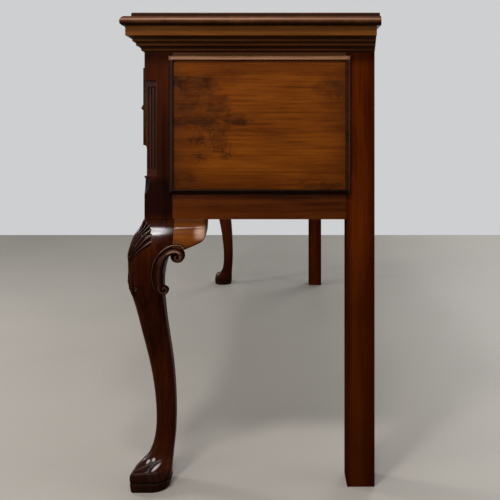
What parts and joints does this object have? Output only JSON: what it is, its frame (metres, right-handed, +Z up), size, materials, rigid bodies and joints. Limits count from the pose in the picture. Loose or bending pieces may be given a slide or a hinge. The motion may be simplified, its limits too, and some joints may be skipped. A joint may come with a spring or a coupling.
{
  "type": "dresser base",
  "caption": "Long low dresser base with lipped drawers on bail handles, panelled ends, fluted canted corners, carved cabriole front legs and square rear legs.",
  "frame": {"origin": "on the floor, in the middle of the piece's plan", "axes": "+X along the width towards the end that the picture shows, -Y the way the drawers face, +Z up"},
  "size_m": [1.518, 0.4244, 0.788],
  "materials": {
    "top_mahogany": "polished",
    "moulding_mahogany": "polished",
    "panel_mahogany": "polished",
    "carved_mahogany": "polished",
    "frame_mahogany": "polished",
    "drawer_mahogany": "polished",
    "lining_oak": "raw",
    "back_oak": "raw",
    "old_brass": "aged",
    "screw_steel": "aged"
  },
  "bodies": {
    "carcase": {"back_board": "back_oak", "back_foot_rail": "back_oak", "back_head_rail": "back_oak", "cornice_front": "moulding_mahogany", "cornice_left": "moulding_mahogany", "cornice_right": "moulding_mahogany", "drawer_divider_left": "frame_mahogany", "drawer_divider_right": "frame_mahogany", "drawer_guides": "lining_oak", "drawer_kickers": "lining_oak", "drawer_runners": "lining_oak", "front_apron": "frame_mahogany", "front_head_rail": "frame_mahogany", "front_leg_left": "carved_mahogany", "front_leg_right": "carved_mahogany", "knee_block_front_left": "carved_mahogany", "knee_block_front_right": "carved_mahogany", "knee_block_side_left": "carved_mahogany", "knee_block_side_right": "carved_mahogany", "panel_moulding_left": "moulding_mahogany", "panel_moulding_right": "moulding_mahogany", "rear_leg_left": "frame_mahogany", "rear_leg_right": "frame_mahogany", "side_foot_rail_left": "frame_mahogany", "side_foot_rail_right": "frame_mahogany", "side_head_rail_left": "frame_mahogany", "side_head_rail_right": "frame_mahogany", "side_panel_left": "panel_mahogany", "side_panel_right": "panel_mahogany", "top_board": "top_mahogany", "top_buttons": "lining_oak", "top_screws": "screw_steel"},
    "drawer_left": {"drawer_left_back": "lining_oak", "drawer_left_bottom": "lining_oak", "drawer_left_front": "drawer_mahogany", "drawer_left_posts": "old_brass", "drawer_left_roses": "old_brass", "drawer_left_side_left": "lining_oak", "drawer_left_side_right": "lining_oak"},
    "bail_left_left": {"drawer_left_bail_left": "old_brass"},
    "bail_left_right": {"drawer_left_bail_right": "old_brass"},
    "drawer_middle": {"drawer_middle_back": "lining_oak", "drawer_middle_bottom": "lining_oak", "drawer_middle_front": "drawer_mahogany", "drawer_middle_posts": "old_brass", "drawer_middle_roses": "old_brass", "drawer_middle_side_left": "lining_oak", "drawer_middle_side_right": "lining_oak"},
    "bail_middle_left": {"drawer_middle_bail_left": "old_brass"},
    "bail_middle_right": {"drawer_middle_bail_right": "old_brass"},
    "drawer_right": {"drawer_right_back": "lining_oak", "drawer_right_bottom": "lining_oak", "drawer_right_front": "drawer_mahogany", "drawer_right_posts": "old_brass", "drawer_right_roses": "old_brass", "drawer_right_side_left": "lining_oak", "drawer_right_side_right": "lining_oak"},
    "bail_right_left": {"drawer_right_bail_left": "old_brass"},
    "bail_right_right": {"drawer_right_bail_right": "old_brass"}
  },
  "joints": [
    {"name": "drawer_left_slide", "type": "slide", "parent": "carcase", "child": "drawer_left", "axis": [0, -1, 0], "range_m": [0, 0.27]},
    {"name": "bail_left_left_swing", "type": "hinge", "parent": "drawer_left", "child": "bail_left_left", "pos_m": [-0.57, -0.19725, 0.6355], "axis": [-1, 0, 0], "range_deg": [0, 90]},
    {"name": "bail_left_right_swing", "type": "hinge", "parent": "drawer_left", "child": "bail_left_right", "pos_m": [-0.35, -0.19725, 0.6355], "axis": [-1, 0, 0], "range_deg": [0, 90]},
    {"name": "drawer_middle_slide", "type": "slide", "parent": "carcase", "child": "drawer_middle", "axis": [0, -1, 0], "range_m": [0, 0.27]},
    {"name": "bail_middle_left_swing", "type": "hinge", "parent": "drawer_middle", "child": "bail_middle_left", "pos_m": [-0.11, -0.19725, 0.6355], "axis": [-1, 0, 0], "range_deg": [0, 90]},
    {"name": "bail_middle_right_swing", "type": "hinge", "parent": "drawer_middle", "child": "bail_middle_right", "pos_m": [0.11, -0.19725, 0.6355], "axis": [-1, 0, 0], "range_deg": [0, 90]},
    {"name": "drawer_right_slide", "type": "slide", "parent": "carcase", "child": "drawer_right", "axis": [0, -1, 0], "range_m": [0, 0.27]},
    {"name": "bail_right_left_swing", "type": "hinge", "parent": "drawer_right", "child": "bail_right_left", "pos_m": [0.35, -0.19725, 0.6355], "axis": [-1, 0, 0], "range_deg": [0, 90]},
    {"name": "bail_right_right_swing", "type": "hinge", "parent": "drawer_right", "child": "bail_right_right", "pos_m": [0.57, -0.19725, 0.6355], "axis": [-1, 0, 0], "range_deg": [0, 90]}
  ]
}
